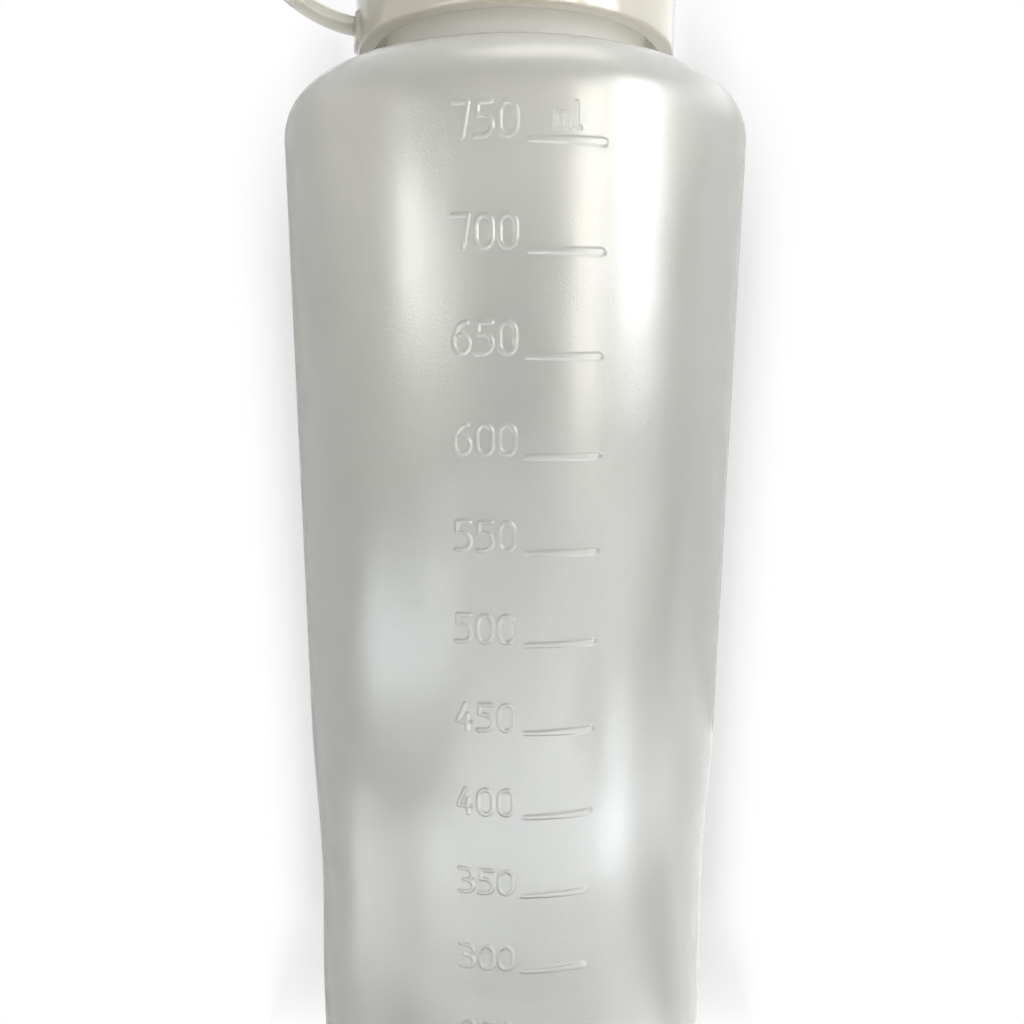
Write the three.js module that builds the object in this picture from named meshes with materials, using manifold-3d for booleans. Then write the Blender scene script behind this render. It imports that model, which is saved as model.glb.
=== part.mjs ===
// Squeeze bottle: a blow-moulded body with a raised volume scale, a screw cap with a conical nozzle,
// a sealing washer inside the cap, and a tip cover held to the cap by a strap.
// Units are millimetres. +Z is up, the origin is the centre of the base and the scale faces -Y.
import * as THREE from "three";
import { mergeVertices } from "three/addons/utils/BufferGeometryUtils.js";
import Module from "manifold-3d";

const wasm = await Module();
wasm.setup();

const DEGREE = Math.PI / 180;
const FULL_TURN = 2 * Math.PI;

// Driving dimensions of the body
const bodyRadius = 36.1;
const bodyWall = 0.8;
const floorThickness = 1.4;
const heelRadius = 6;
const waistDepth = 0.7;
const waistHeight = 79; // height of the narrowest ring of the grip waist
const waistLength = 56;
const shoulderStart = 200; // top of the straight wall
const shoulderRadius = 8;
const shoulderSlope = 15 * DEGREE;

// Driving dimensions of the neck and its thread
const neckRadius = 20.5;
const neckWall = 1.9;
const neckLip = 2; // plain neck above the thread
const rimChamfer = 0.4;
const threadLead = 6; // from the neck's root to the thread's first turn
const threadPitch = 4.2;
const threadTurns = 1.75;
const threadDepth = 1.3;
const threadRootWidth = 1.6;
const threadCrestWidth = 0.7;
const threadRunOut = 25 * DEGREE; // angle over which each end of a ridge rises from its wall

// Driving dimensions of the volume scale
const markVolume = 50000; // cubic millimetres between two marks
const scaleZero = 2.4; // height that an empty bottle reads: the floor, less what heel and waist take away
const markProud = 0.35;
const markHeight = 1;
const markStartAngle = 2.1 * DEGREE; // from -Y towards +X
const markEndAngle = 18.1 * DEGREE;

// Driving dimensions of the cap, its nozzle and the washer
const capGap = 3.1; // from the neck's root to the skirt's lower edge
const skirtWall = 2.4;
const skirtChamfer = 0.5;
const capPlate = 1.8;
const capEdgeRadius = 2.5;
const threadClearance = 0.4; // from the cap's ridge to the plain neck
const skirtClearance = 0.5; // from the neck's thread to the skirt's bore
const washerThickness = 1.6;
const washerClearance = 0.4; // from the washer's rim to the skirt's bore
const seatGap = 0.15; // above and below the washer
const nozzleHeight = 38.8;
const nozzleBaseRadius = 11.5;
const nozzleTipRadius = 3;
const nozzleWall = 1.5;
const nozzleBoreRadius = 1.5; // at the tip
const nozzleFillet = 2;

// Driving dimensions of the tip cover and its strap
const coverDepth = 14; // how much of the nozzle the cover hides
const coverWall = 1.2;
const coverClearance = 0.3;
const coverEdgeRadius = 1;
const collarHeight = 2.4;
const collarProud = 1.3;
const strapAngle = 195 * DEGREE; // direction in which the strap leaves the cap, from +X
const strapRise = 3.5; // from the skirt's lower edge to the strap's lowest point
const strapWidth = 4.3;
const strapThickness = 1.5;
const strapGap = 0.3; // at both ends of the strap
const strapLoopCentre = 23.2; // distance of the loop's centre from the bottle's axis
const padProud = 0.6;
const padMargin = 0.8; // pad beside and above the strap

// Steps around a full turn, and along the round stretches of an outline
const bodySegments = 64;
const coverSegments = 36;
const threadSteps = 44; // per turn
const arcSteps = 5;
const waistSteps = 8;
const loopSteps = 28;

// Worked-out heights and radii
const boreRadius = bodyRadius - bodyWall;
const shoulderCentre = bodyRadius - shoulderRadius;
const shoulderEdgeRadius = shoulderCentre + shoulderRadius * Math.sin(shoulderSlope);
const shoulderEdge = shoulderStart + shoulderRadius * Math.cos(shoulderSlope);
const neckRoot = shoulderEdge + (shoulderEdgeRadius - neckRadius) * Math.tan(shoulderSlope);
const neckBore = neckRadius - neckWall;
const threadStart = neckRoot + threadLead;
const neckTop = threadStart + threadTurns * threadPitch + threadRootWidth / 2 + neckLip;
const skirtBottom = neckRoot + capGap;
const skirtBore = neckRadius + threadDepth + skirtClearance;
const skirtRadius = skirtBore + skirtWall;
const capThreadStart = threadStart + threadPitch / 2;
const capThreadTurns = threadTurns - 1 / 2; // so both ridges end at one height
const washerBottom = neckTop + seatGap;
const plateBottom = washerBottom + washerThickness + seatGap;
const capTop = plateBottom + capPlate;
const nozzleTop = capTop + nozzleHeight;
const coverBottom = nozzleTop - coverDepth;
const coverTop = nozzleTop + coverClearance + coverWall;
const collarRadius = nozzleRadiusAt(coverBottom) + coverClearance + coverWall + collarProud;
const strapBottom = skirtBottom + strapRise;
const strapTop = coverBottom + collarHeight / 2;

// Outline and mesh helpers
function point(radius, height) {
  return new THREE.Vector2(radius, height);
}

// Points of an arc about a centre, both ends included.
function arc(centreRadius, centreHeight, radius, from, to) {
  const points = [];
  for (let i = 0; i <= arcSteps; i++) {
    const angle = from + ((to - from) * i) / arcSteps;
    points.push(point(centreRadius + radius * Math.cos(angle), centreHeight + radius * Math.sin(angle)));
  }
  return points;
}

// A closed outline of radii and heights turned about the Z axis.
function turned(outline, segments) {
  return new THREE.LatheGeometry(outline, segments).rotateX(Math.PI / 2);
}

function solidOf(geometry) {
  const bare = geometry.clone();
  bare.deleteAttribute("normal");
  bare.deleteAttribute("uv");
  const merged = mergeVertices(bare, 1e-4);
  const corners = merged.index.array;
  const kept = [];
  for (let i = 0; i < corners.length; i += 3) {
    const [a, b, c] = [corners[i], corners[i + 1], corners[i + 2]];
    if (a !== b && b !== c && a !== c) kept.push(a, b, c);
  }
  const vertProperties = new Float32Array(merged.attributes.position.array);
  const triVerts = new Uint32Array(kept);
  return new wasm.Manifold(new wasm.Mesh({ numProp: 3, vertProperties, triVerts }));
}

function joined(geometries) {
  const [first, ...rest] = geometries.map(solidOf);
  const whole = rest.reduce((sum, solid) => sum.add(solid), first);
  const mesh = whole.getMesh();
  const geometry = new THREE.BufferGeometry();
  geometry.setAttribute("position", new THREE.BufferAttribute(mesh.vertProperties, mesh.numProp));
  geometry.setIndex(new THREE.BufferAttribute(mesh.triVerts, 1));
  return geometry;
}

// A ring sector between two radii and two heights, such as one raised mark.
function ringSector(innerRadius, outerRadius, bottom, height, fromAngle, toAngle) {
  const sector = new THREE.Shape();
  sector.absarc(0, 0, outerRadius, fromAngle, toAngle, false);
  sector.absarc(0, 0, innerRadius, toAngle, fromAngle, true);
  sector.closePath();
  const options = { depth: height, bevelEnabled: false, curveSegments: arcSteps };
  return new THREE.ExtrudeGeometry(sector, options).translate(0, 0, bottom);
}

// One right-handed screw ridge on a wall. Its ends rise from the wall and sink back into it.
// rootRadius lies inside the wall, and crestRadius may be the larger or the smaller one.
function screwRidge(rootRadius, wallRadius, crestRadius, startHeight, turns) {
  const steps = Math.round(turns * threadSteps);
  const positions = [];
  for (let i = 0; i <= steps; i++) {
    const angle = (turns * FULL_TURN * i) / steps;
    const fromEnd = Math.min(angle, turns * FULL_TURN - angle);
    const share = Math.min(1, fromEnd / threadRunOut);
    const crest = wallRadius + (crestRadius - wallRadius) * share;
    const height = startHeight + (threadPitch * angle) / FULL_TURN;
    const section = [
      [rootRadius, -threadRootWidth / 2],
      [crest, -threadCrestWidth / 2],
      [crest, threadCrestWidth / 2],
      [rootRadius, threadRootWidth / 2],
    ];
    for (const [radius, offset] of section) {
      positions.push(radius * Math.cos(angle), radius * Math.sin(angle), height + offset);
    }
  }
  const index = [];
  const quad = (a, b, c, d) => index.push(a, b, c, a, c, d);
  for (let i = 0; i < steps; i++) {
    for (let k = 0; k < 4; k++) {
      const next = (k + 1) % 4;
      quad(4 * i + k, 4 * i + 4 + k, 4 * i + 4 + next, 4 * i + next);
    }
  }
  quad(0, 1, 2, 3);
  quad(4 * steps + 3, 4 * steps + 2, 4 * steps + 1, 4 * steps);
  if (crestRadius < rootRadius) index.reverse();
  const geometry = new THREE.BufferGeometry();
  geometry.setAttribute("position", new THREE.Float32BufferAttribute(positions, 3));
  geometry.setIndex(index);
  return geometry;
}

// Body: base, heel, waisted wall, shoulder and threaded neck
function bodyRadiusAt(height) {
  const offset = height - waistHeight;
  if (Math.abs(offset) > waistLength / 2) return bodyRadius;
  return bodyRadius - waistDepth * Math.cos((Math.PI * offset) / waistLength) ** 2;
}

// The waisted wall from bottom to top, set in by a distance.
function wallOutline(inset) {
  const points = [];
  for (let i = 0; i <= waistSteps; i++) {
    const height = waistHeight + waistLength * (i / waistSteps - 0.5);
    points.push(point(bodyRadiusAt(height) - inset, height));
  }
  return points;
}

function bodyOutside() {
  const topOfArc = Math.PI / 2 - shoulderSlope;
  return [
    point(0, 0),
    ...arc(bodyRadius - heelRadius, heelRadius, heelRadius, -Math.PI / 2, 0),
    ...wallOutline(0),
    ...arc(shoulderCentre, shoulderStart, shoulderRadius, 0, topOfArc),
    point(neckRadius, neckRoot),
    point(neckRadius, neckTop - rimChamfer),
    point(neckRadius - rimChamfer, neckTop),
  ];
}

function bodyInside() {
  const topOfArc = Math.PI / 2 - shoulderSlope;
  const innerHeel = heelRadius - floorThickness;
  const innerShoulder = shoulderRadius - bodyWall;
  const edgeRadius = shoulderCentre + innerShoulder * Math.sin(shoulderSlope);
  const edge = shoulderStart + innerShoulder * Math.cos(shoulderSlope);
  const boreFoot = edge + (edgeRadius - neckBore) * Math.tan(shoulderSlope);
  return [
    point(neckBore, neckTop),
    point(neckBore, boreFoot),
    ...arc(shoulderCentre, shoulderStart, innerShoulder, topOfArc, 0),
    ...wallOutline(bodyWall).reverse(),
    ...arc(boreRadius - innerHeel, floorThickness + innerHeel, innerHeel, 0, -Math.PI / 2),
    point(0, floorThickness),
  ];
}

// One raised mark for each step of volume that the straight wall has room for.
function scaleMarks() {
  const marks = [];
  const step = markVolume / (Math.PI * boreRadius ** 2);
  for (let middle = scaleZero + step; middle + markHeight < shoulderStart; middle += step) {
    const wall = bodyRadiusAt(middle);
    const from = markStartAngle - Math.PI / 2;
    const to = markEndAngle - Math.PI / 2;
    const bottom = middle - markHeight / 2;
    marks.push(ringSector(wall - bodyWall / 2, wall + markProud, bottom, markHeight, from, to));
  }
  return marks;
}

function bottleBody() {
  const shell = turned([...bodyOutside(), ...bodyInside()], bodySegments);
  const root = neckRadius - neckWall / 2;
  const thread = screwRidge(root, neckRadius, neckRadius + threadDepth, threadStart, threadTurns);
  return joined([shell, thread, ...scaleMarks()]);
}

// Cap: skirt with its own ridge, top plate, nozzle and the pad that carries the strap
function nozzleRadiusAt(height) {
  const share = (height - capTop) / nozzleHeight;
  return nozzleBaseRadius + (nozzleTipRadius - nozzleBaseRadius) * share;
}

function capOutline() {
  const filletTop = capTop + nozzleFillet;
  const filletCentre = nozzleRadiusAt(filletTop) + nozzleFillet;
  return [
    point(skirtBore + skirtChamfer, skirtBottom),
    point(skirtRadius - skirtChamfer, skirtBottom),
    point(skirtRadius, skirtBottom + skirtChamfer),
    ...arc(skirtRadius - capEdgeRadius, capTop - capEdgeRadius, capEdgeRadius, 0, Math.PI / 2),
    ...arc(filletCentre, filletTop, nozzleFillet, -Math.PI / 2, -Math.PI),
    point(nozzleTipRadius, nozzleTop),
    point(nozzleBoreRadius, nozzleTop),
    point(nozzleBaseRadius - nozzleWall, plateBottom),
    point(skirtBore, plateBottom),
    point(skirtBore, skirtBottom + skirtChamfer),
    point(skirtBore + skirtChamfer, skirtBottom),
  ];
}

function strapPad() {
  const half = (strapWidth / 2 + padMargin) / skirtRadius;
  const bottom = skirtBottom + skirtChamfer;
  const height = strapBottom + strapThickness / 2 + padMargin - bottom;
  return ringSector(
    skirtRadius - skirtWall / 2,
    skirtRadius + padProud,
    bottom,
    height,
    strapAngle - half,
    strapAngle + half,
  );
}

function screwCap() {
  const shell = turned(capOutline(), bodySegments);
  const root = skirtBore + skirtWall / 2;
  const crest = neckRadius + threadClearance;
  const thread = screwRidge(root, skirtBore, crest, capThreadStart, capThreadTurns);
  return joined([shell, thread, strapPad()]);
}

function sealingWasher() {
  const inner = neckBore;
  const outer = skirtBore - washerClearance;
  const top = washerBottom + washerThickness;
  const outline = [
    point(inner, washerBottom),
    point(outer, washerBottom),
    point(outer, top),
    point(inner, top),
    point(inner, washerBottom),
  ];
  return turned(outline, bodySegments);
}

// Tip cover: a cone that slips over the nozzle, with a collar for the strap
function tipCover() {
  const mouth = nozzleRadiusAt(coverBottom) + coverClearance;
  const crown = nozzleTipRadius + coverClearance;
  const collarTop = coverBottom + collarHeight;
  const edgeCentre = crown + coverWall - coverEdgeRadius;
  const outline = [
    point(mouth, coverBottom),
    point(collarRadius, coverBottom),
    point(collarRadius, collarTop),
    point(nozzleRadiusAt(collarTop) + coverClearance + coverWall, collarTop),
    ...arc(edgeCentre, coverTop - coverEdgeRadius, coverEdgeRadius, 0, Math.PI / 2),
    point(0, coverTop),
    point(0, nozzleTop + coverClearance),
    point(crown, nozzleTop + coverClearance),
    point(mouth, coverBottom),
  ];
  return turned(outline, coverSegments);
}

// Strap: a half loop from the pad on the skirt up and back to the cover's collar
function tetherStrap() {
  const loopRadius = (strapTop - strapBottom) / 2;
  const loopHeight = (strapTop + strapBottom) / 2;
  const padReach = skirtRadius + padProud + strapGap - strapLoopCentre;
  const outer = loopRadius + strapThickness / 2;
  const inner = loopRadius - strapThickness / 2;
  const collarReach = collarRadius + strapGap;
  const padAngle = (radius) => Math.asin(padReach / radius) - Math.PI / 2;
  const side = new THREE.Shape();
  side.absarc(strapLoopCentre, loopHeight, outer, padAngle(outer), Math.PI / 2, false);
  side.lineTo(collarReach, loopHeight + outer);
  side.lineTo(collarReach, loopHeight + inner);
  side.absarc(strapLoopCentre, loopHeight, inner, Math.PI / 2, padAngle(inner), true);
  side.closePath();
  const options = { depth: strapWidth, bevelEnabled: false, curveSegments: loopSteps };
  return new THREE.ExtrudeGeometry(side, options)
    .translate(0, 0, -strapWidth / 2)
    .rotateX(Math.PI / 2)
    .rotateZ(strapAngle);
}

const milkyPlastic = new THREE.MeshStandardMaterial({ color: 0xd6d6cd, roughness: 0.45, metalness: 0 });
const whitePlastic = new THREE.MeshStandardMaterial({ color: 0xe2ddd2, roughness: 0.4, metalness: 0 });
const washerFoam = new THREE.MeshStandardMaterial({ color: 0xeeeeea, roughness: 0.8, metalness: 0 });

const squeezeBottle = new THREE.Group();

function addPiece(name, geometry, material) {
  const mesh = new THREE.Mesh(geometry, material);
  mesh.name = name;
  squeezeBottle.add(mesh);
}

addPiece("bottle_body", bottleBody(), milkyPlastic);
addPiece("sealing_washer", sealingWasher(), washerFoam);
addPiece("screw_cap", screwCap(), whitePlastic);
addPiece("tether_strap", tetherStrap(), whitePlastic);
addPiece("tip_cover", tipCover(), whitePlastic);

export default squeezeBottle;
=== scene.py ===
import math

import bpy
import numpy as np
from mathutils import Matrix, Vector


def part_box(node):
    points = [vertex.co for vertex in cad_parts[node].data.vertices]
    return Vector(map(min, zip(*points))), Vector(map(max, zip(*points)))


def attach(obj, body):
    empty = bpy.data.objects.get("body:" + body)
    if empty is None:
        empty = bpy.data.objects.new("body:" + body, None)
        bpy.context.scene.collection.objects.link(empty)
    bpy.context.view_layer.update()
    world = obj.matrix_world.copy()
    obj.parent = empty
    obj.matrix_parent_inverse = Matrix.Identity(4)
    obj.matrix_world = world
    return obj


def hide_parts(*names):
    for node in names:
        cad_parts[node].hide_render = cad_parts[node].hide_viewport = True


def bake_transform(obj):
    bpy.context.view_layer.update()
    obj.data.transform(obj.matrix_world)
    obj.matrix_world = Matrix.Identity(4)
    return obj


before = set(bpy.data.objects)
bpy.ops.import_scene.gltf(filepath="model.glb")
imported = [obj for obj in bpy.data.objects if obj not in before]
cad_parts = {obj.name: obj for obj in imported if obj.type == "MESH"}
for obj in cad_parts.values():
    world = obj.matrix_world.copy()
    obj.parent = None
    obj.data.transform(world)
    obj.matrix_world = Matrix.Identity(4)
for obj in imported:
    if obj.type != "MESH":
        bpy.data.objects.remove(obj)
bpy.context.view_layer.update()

MM = 0.001
FULL_TURN = 360.0


def node_box(node):
    """Low and high corner of a CAD node's box, in millimetres."""
    low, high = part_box(node)
    return low / MM, high / MM


# Sizes read from the CAD nodes in model.glb
_, body_high = node_box("bottle_body")
cap_low, cap_high = node_box("screw_cap")
washer_low, washer_high = node_box("sealing_washer")
cover_low, cover_high = node_box("tip_cover")
BODY_RADIUS = body_high.x
NECK_TOP = body_high.z
SKIRT_BOTTOM = cap_low.z
SKIRT_RADIUS = cap_high.x
NOZZLE_TOP = cap_high.z
WASHER_RADIUS = washer_high.x
WASHER_BOTTOM = washer_low.z
WASHER_TOP = washer_high.z
COLLAR_RADIUS = cover_high.y
COVER_BOTTOM = cover_low.z
COVER_TOP = cover_high.z

# Body, as in the CAD source
WALL = 0.8
FLOOR = 1.4
HEEL_RADIUS = 6.0
WAIST_DEPTH = 0.7
WAIST_HEIGHT = 79.0
WAIST_LENGTH = 56.0
SHOULDER_START = 200.0
SHOULDER_RADIUS = 8.0
SHOULDER_SLOPE = 15.0
NECK_RADIUS = 20.5
NECK_WALL = 1.9
THREAD_LEAD = 6.0
THREAD_PITCH = 4.2
THREAD_TURNS = 1.75
THREAD_DEPTH = 1.3
THREAD_RUN_OUT = 25.0

# Softer than in the CAD source: base recess and floor as (radius, height), thread flanks, fillets and rounds
BASE_OUTLINE = ((3.0, 0.6), (20.0, 0.6), (23.0, 0.12), (25.0, 0.0))
FLOOR_OUTLINE = ((20.0, FLOOR + 0.05), (3.0, FLOOR + 0.1))
THREAD_ROOT = 1.9
THREAD_CREST = 0.6
NECK_FILLET = 1.2
NECK_FILLET_MIDDLE = (0.3, 0.25)
RIM_ROUND = 0.5
BORE_LEAD = 2.0
BORE_EDGE = 0.6
INNER_WALL_LEADS = (4.0, 6.0)

# Volume scale
MARK_VOLUME = 50
CUBIC_MM_PER_ML = 1000
SCALE_ZERO = 2.4
MARK_COUNT = 15
MARK_START = 2.1
MARK_END = 18.1
MARK_HALF_HEIGHT = (0.42, 0.62)
MARK_PROUD = (0.16, 0.36)
MARK_EDGE = 0.24
FIGURE_WIDTH = 2.0
FIGURE_HEIGHT = 3.8
FIGURE_PITCH = 2.92
FIGURE_RIGHT = 0.05
FIGURE_RISE = 0.35
STROKE_HALF_WIDTH = 0.32
STROKE_EDGE = 0.15
STROKE_PROUD = 0.22
UNIT_RISE = 1.4

# Cap and nozzle
SKIRT_WALL = 2.4
SKIRT_ROUND = 0.5
SKIRT_LEADS = (2.0, 0.5)
CAP_PLATE = 1.8
CAP_EDGE = 2.5
PLATE_CORNER = 0.4
SEAT_GAP = 0.15
CAP_THREAD_DEPTH = 1.4
CAP_THREAD_TURNS = THREAD_TURNS - 0.5
NOZZLE_BASE = 11.5
NOZZLE_TIP = 3.0
NOZZLE_WALL = 1.5
NOZZLE_BORE = 1.5
NOZZLE_FILLET = 2.0
NOZZLE_LEADS = (2.0, 1.0)
NOZZLE_BORE_LEAD = (0.2, 1.2)
TIP_ROUND = 0.5
TIP_BORE_ROUND = 0.3

# Washer, cover and strap. Each cone of the cover gives its ends' offsets from the rounds that it joins.
WASHER_ROUND = 0.35
COVER_WALL = 1.2
COVER_GAP = 0.3
COVER_EDGE = 1.0
COVER_EYE = 1.0
COVER_CORNER = 0.5
COVER_INNER_CONE = ((0.3, -2.0), (-0.1, 0.5))
COVER_OUTER_CONE = ((-0.2, 1.5), (0.15, -0.7))
COVER_MOUTH_FLARE = 0.3
COLLAR_HEIGHT = 2.4
COLLAR_ROUND = 0.4
COLLAR_FILLET = ((0.5, 0.0), (0.1, 0.4))
STRAP_AZIMUTH = -75.0
STRAP_WIDTH = 4.3
STRAP_THICKNESS = 1.5
STRAP_ROUND = 0.45
STRAP_LOOP_CENTRE = 23.2
STRAP_RISE = 3.5
STRAP_SINK = 0.5
STRAP_BLEND_MARGINS = (3.0, 1.5)
PAD_PROUD = 0.6
PAD_MARGIN = 0.8
PAD_EDGE = 0.4

# Mesh density, and the azimuths and heights that the fine patches take
COARSE_START = -178.5
COARSE_STEP = 5.0
COARSE_COLUMNS = [COARSE_START + COARSE_STEP * k for k in range(round(FULL_TURN / COARSE_STEP))]
FIGURE_GRID = 0.11
MARK_GRID = 0.35
FIGURE_SPAN = (-13.5, 1.5)
MARK_SPAN = (1.5, 21.5)
UNIT_SPAN = (6.5, 16.5)
MARK_ROOM = 0.77
FIGURE_ROOM = 4.73
ROWS_BETWEEN_LABELS = 2
NECK_ROWS = 40
INNER_WALL_ROWS = 44
PAD_SPAN = (-83.5, -63.5)
PAD_GRID = 0.35
PAD_ROOM = (0.1, 0.3)
PAD_ROWS = 24
CAP_BORE_ROWS = 44
STRAP_LOOP_STEPS = 60
STRAP_STRAIGHT_STEPS = 14

# Sizes worked out from those above
SHOULDER_CENTRE = BODY_RADIUS - SHOULDER_RADIUS
SHOULDER_END = 90 - SHOULDER_SLOPE
SHOULDER_RISE = math.tan(math.radians(SHOULDER_SLOPE))
SHOULDER_EDGE = SHOULDER_START + SHOULDER_RADIUS * math.cos(math.radians(SHOULDER_SLOPE))
SHOULDER_EDGE_RADIUS = SHOULDER_CENTRE + SHOULDER_RADIUS * math.sin(math.radians(SHOULDER_SLOPE))
NECK_ROOT = SHOULDER_EDGE + (SHOULDER_EDGE_RADIUS - NECK_RADIUS) * SHOULDER_RISE
THREAD_START = NECK_ROOT + THREAD_LEAD
CAP_THREAD_START = THREAD_START + THREAD_PITCH / 2
NECK_BORE = NECK_RADIUS - NECK_WALL
SKIRT_BORE = SKIRT_RADIUS - SKIRT_WALL
PLATE_BOTTOM = WASHER_TOP + SEAT_GAP
CAP_TOP = PLATE_BOTTOM + CAP_PLATE
MARK_STEP = MARK_VOLUME * CUBIC_MM_PER_ML / (math.pi * (BODY_RADIUS - WALL) ** 2)


# Outlines
def arc(centre_radius, centre_height, radius, start, end, steps=8):
    """Points of an arc, angles in degrees from the outward direction towards +Z."""
    angles = np.radians(np.linspace(start, end, steps + 1))
    return [(centre_radius + radius * math.cos(a), centre_height + radius * math.sin(a)) for a in angles]


def straight(start, end, steps):
    """Points of a straight stretch, both ends included."""
    shares = np.linspace(0, 1, steps + 1)
    return [(start[0] + (end[0] - start[0]) * s, start[1] + (end[1] - start[1]) * s) for s in shares]


def wall_radius(height):
    """Radius of the body's outside, which narrows at the waist."""
    offset = height - WAIST_HEIGHT
    if abs(offset) > WAIST_LENGTH / 2:
        return BODY_RADIUS
    return BODY_RADIUS - WAIST_DEPTH * math.cos(math.pi * offset / WAIST_LENGTH) ** 2


def mark_height(k):
    """Height of the k-th mark, counted from the lowest."""
    return SCALE_ZERO + MARK_STEP * (k + 1)


def nozzle_radius(height):
    """Radius of the nozzle's outside."""
    share = (height - CAP_TOP) / (NOZZLE_TOP - CAP_TOP)
    return NOZZLE_BASE + (NOZZLE_TIP - NOZZLE_BASE) * share


# Turned meshes
def make_object(name, points, faces, material):
    mesh = bpy.data.meshes.new(name)
    mesh.from_pydata(points, [], faces)
    mesh.polygons.foreach_set("use_smooth", [True] * len(mesh.polygons))
    mesh.materials.append(material)
    mesh.update()
    piece = bpy.data.objects.new(name, mesh)
    bpy.context.scene.collection.objects.link(piece)
    return piece


def turned(name, rows, columns, coarse, patches, relief, material, ring=False):
    """A mesh turned about Z from (radius, height) rows and azimuth columns, with relief added to the radius.
    coarse lists the columns that run its full height. Each patch is a (rows, columns) pair of index lists and
    is filled finely: it starts and ends on a coarse column, and its inner rows exist nowhere else."""
    shape = (len(rows), len(columns))
    plain = np.ones(shape[0], bool)
    for patch_rows, _ in patches:
        plain[patch_rows[1:-1]] = False
    for patch_rows, _ in patches:
        plain[[patch_rows[0], patch_rows[-1]]] = True
    exists = np.zeros(shape, bool)
    exists[np.ix_(plain, coarse)] = True
    for patch in patches:
        exists[np.ix_(*patch)] = True
    number = np.full(shape, -1)
    number[exists] = np.arange(exists.sum())
    radius = np.array([r for r, _ in rows])[:, None] + relief
    height = np.array([z for _, z in rows])[:, None] + np.zeros(shape)
    angle = np.radians(columns)[None, :]
    points = np.stack([radius * np.sin(angle), -radius * np.cos(angle), height], -1)[exists] * MM
    faces = []
    filled = set()
    for patch_rows, patch_columns in patches:
        block = number[np.ix_(patch_rows, patch_columns)]
        corners = (block[:-1, :-1], block[:-1, 1:], block[1:, 1:], block[1:, :-1])
        faces += np.stack([c.ravel() for c in corners], -1).tolist()
        filled |= {(i, j) for i in patch_rows[:-1] for j in patch_columns[:-1]}
    plain_rows = np.flatnonzero(plain).tolist()
    row_pairs = list(zip(plain_rows, plain_rows[1:]))
    if ring:
        row_pairs.append((plain_rows[-1], plain_rows[0]))
    for low, high in row_pairs:
        between = range(low + 1, high)
        for left, right in zip(coarse, coarse[1:] + coarse[:1]):
            if (low, left) in filled:
                continue
            across = range(left + 1, right if right > left else shape[1])
            loop = [number[low, left], *number[low, across], number[low, right], *number[between, right]]
            loop += [number[high, right], *number[high, across[::-1]], number[high, left]]
            loop += [*number[between[::-1], left]]
            faces.append([int(v) for v in loop if v >= 0])
    if not ring:
        faces.append(number[0, coarse[::-1]].tolist())
        faces.append(number[-1, coarse].tolist())
    return make_object(name, points.tolist(), faces, material)


def plain_turned(name, rows, material, ring):
    """A turned mesh without relief or fine patches."""
    count = len(COARSE_COLUMNS)
    relief = np.zeros((len(rows), count))
    return turned(name, rows, COARSE_COLUMNS, list(range(count)), [], relief, material, ring)


def columns_between(start, end, step):
    """Azimuths from start to end that take in every coarse column on the way."""
    count = math.ceil((end - start) / step)
    fine = np.linspace(start, end, count + 1).round(4).tolist()
    return sorted({*fine, *(a for a in COARSE_COLUMNS if start <= a <= end)})


def screw_relief(azimuth, height, start, turns, depth):
    """How far a screw ridge stands out. Its first turn starts at +X and rises to the left of it."""
    turn = ((azimuth - 90) % FULL_TURN) / FULL_TURN
    relief = np.zeros(np.broadcast(azimuth, height).shape)
    for lap in range(math.ceil(turns)):
        along = turn + lap
        to_end = np.minimum(along, turns - along) * FULL_TURN
        share = np.clip(to_end / THREAD_RUN_OUT, 0, 1)
        off = np.abs(height - start - THREAD_PITCH * along)
        flank = np.clip((THREAD_ROOT / 2 - off) / (THREAD_ROOT / 2 - THREAD_CREST / 2), 0, 1)
        relief = np.maximum(relief, depth * flank * share)
    return relief


# Figures of the scale, as strokes in a cell one unit wide and one high
def bend(centre_x, centre_y, radius_x, radius_y, start, end, steps=10):
    """Points of an elliptic arc, angles in degrees."""
    angles = np.radians(np.linspace(start, end, steps + 1))
    return [(centre_x + radius_x * math.cos(a), centre_y + radius_y * math.sin(a)) for a in angles]


GLYPHS = {
    "0": [bend(0.5, 0.7, 0.5, 0.3, 0, 180) + bend(0.5, 0.3, 0.5, 0.3, 180, 360) + [(1, 0.7)]],
    "1": [[(0.2, 0.8), (0.6, 1), (0.6, 0)]],
    "2": [bend(0.5, 0.7, 0.5, 0.3, 160, -30) + [(0, 0), (1, 0)]],
    "3": [
        [(0, 1)] + bend(0.5, 0.76, 0.45, 0.24, 90, -90) + [(0.35, 0.52)],
        bend(0.5, 0.26, 0.5, 0.26, 90, -90) + [(0, 0)],
    ],
    "4": [[(0.55, 1), (0, 0.3), (1, 0.3)], [(0.72, 0.6), (0.72, 0)]],
    "5": [[(0.95, 1), (0.1, 1), (0.1, 0.62)] + bend(0.45, 0.31, 0.55, 0.31, 90, -90) + [(0, 0)]],
    "6": [
        [(0.85, 1)] + bend(0.85, 0.35, 0.85, 0.65, 105, 180) + bend(0.5, 0.3, 0.5, 0.3, 180, 360)
        + bend(0.5, 0.3, 0.5, 0.3, 0, 110)
    ],
    "7": [[(0, 1), (1, 1), (0.66, 0)]],
    "m": [
        [(0, 0), (0, 1)],
        [(0, 0.75)] + bend(0.25, 0.7, 0.25, 0.3, 150, 0, 6) + [(0.5, 0)],
        [(0.5, 0.7)] + bend(0.75, 0.7, 0.25, 0.3, 150, 0, 6) + [(1, 0)],
    ],
    "l": [[(0, 1), (0, 0.15)] + bend(0.6, 0.15, 0.6, 0.15, 180, 290, 5)],
}
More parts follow.
